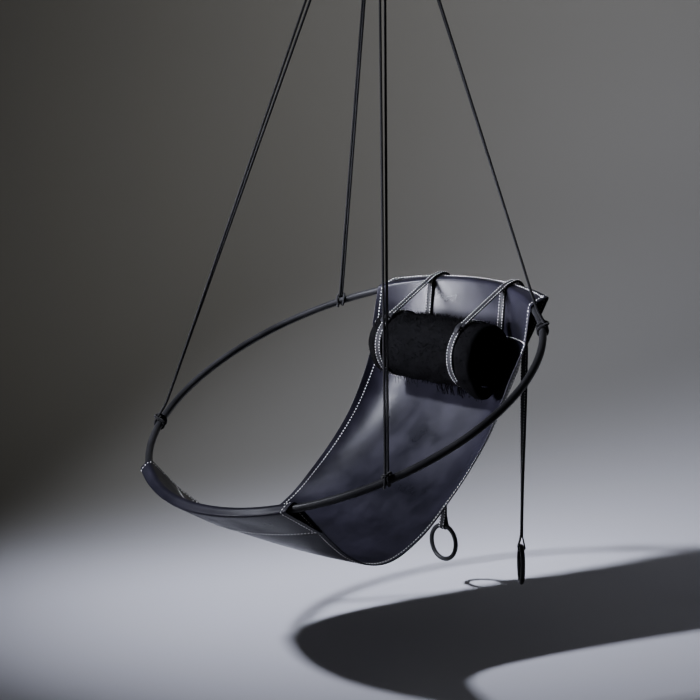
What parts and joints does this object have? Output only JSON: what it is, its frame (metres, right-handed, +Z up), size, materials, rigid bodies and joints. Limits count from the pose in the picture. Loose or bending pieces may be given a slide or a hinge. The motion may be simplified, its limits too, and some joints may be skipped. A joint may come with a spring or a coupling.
{
  "type": "hanging sling chair",
  "caption": "Hanging sling chair: tilted steel hoop on paired ropes and a swivel, leather sling seat, rolled headrest on straps with ring counterweights.",
  "frame": {"origin": "centre of the ceiling plate's mounting face, on the spin axis", "axes": "+Z up into the ceiling, the chair hangs below along -Z and its seat opens towards -Y, +X to the sitter's left"},
  "size_m": [1.018, 0.9871, 2.1389],
  "materials": {
    "steel": "satin",
    "zinc": "satin",
    "leather": "satin",
    "leather_wrap": "satin",
    "strap_leather": "satin",
    "rope": "matte",
    "thread": "matte",
    "blanket": "matte",
    "card": "matte"
  },
  "bodies": {
    "ceiling": {"ceiling_plate": "steel"},
    "link": {"swing_link": "steel", "upper_pin": "zinc"},
    "swivel": {"swivel_housing": "steel", "swivel_cap": "steel", "swivel_bearing": "zinc", "lower_pin": "zinc"},
    "chair": {"swivel_eye": "zinc", "top_ring": "zinc", "rope_front_left": "rope", "rope_front_right": "rope", "rope_rear_left": "rope", "rope_rear_right": "rope", "hoop_tube": "steel", "hoop_wrap": "leather_wrap", "sling_seat": "leather", "pocket_front": "leather", "pocket_rear": "leather", "thread_left": "thread", "thread_right": "thread", "thread_front": "thread", "thread_rear": "thread", "strap_saddle_left": "strap_leather", "strap_saddle_right": "strap_leather"},
    "headrest": {"headrest_core": "card", "headrest_blanket": "blanket", "strap_front_left": "strap_leather", "strap_front_right": "strap_leather", "strap_back_left": "strap_leather", "strap_back_right": "strap_leather", "strap_wrap_left": "strap_leather", "strap_wrap_right": "strap_leather", "strap_keeper_left": "strap_leather", "strap_keeper_right": "strap_leather"},
    "drop_left": {"strap_drop_left": "strap_leather"},
    "drop_right": {"strap_drop_right": "strap_leather"},
    "ring_left": {"weight_core_left": "steel", "weight_wrap_left": "leather_wrap"},
    "ring_right": {"weight_core_right": "steel", "weight_wrap_right": "leather_wrap"}
  },
  "joints": [
    {"name": "swing_fore_aft", "type": "hinge", "parent": "ceiling", "child": "link", "pos_m": [0, 0, -0.03], "axis": [1, 0, 0], "range_deg": [-30, 30]},
    {"name": "swing_sideways", "type": "hinge", "parent": "link", "child": "swivel", "pos_m": [0, 0, -0.076], "axis": [0, 1, 0], "range_deg": [-25, 25]},
    {"name": "spin", "type": "hinge", "parent": "swivel", "child": "chair", "pos_m": [0, 0, -0.128], "axis": [0, 0, 1], "continuous": true},
    {"name": "headrest_height", "type": "slide", "parent": "chair", "child": "headrest", "axis": [0, 0.2, 0.9798], "range_m": [-0.018, 0.018]},
    {"name": "drop_left_height", "type": "slide", "parent": "chair", "child": "drop_left", "axis": [0, 0, 1], "range_m": [-0.018, 0.018]},
    {"name": "drop_right_height", "type": "slide", "parent": "chair", "child": "drop_right", "axis": [0, 0, 1], "range_m": [-0.018, 0.018]},
    {"name": "ring_left_swing", "type": "hinge", "parent": "drop_left", "child": "ring_left", "pos_m": [-0.143, 0.37945, -2.0404], "axis": [1, 0, 0], "range_deg": [-40, 40]},
    {"name": "ring_right_swing", "type": "hinge", "parent": "drop_right", "child": "ring_right", "pos_m": [0.143, 0.37945, -2.0404], "axis": [0.7547, -0.6561, 0], "range_deg": [-40, 40]}
  ],
  "couplings": [
    {"joint": "drop_left_height", "follows": "headrest_height", "ratio": -1},
    {"joint": "drop_right_height", "follows": "headrest_height", "ratio": -1}
  ]
}
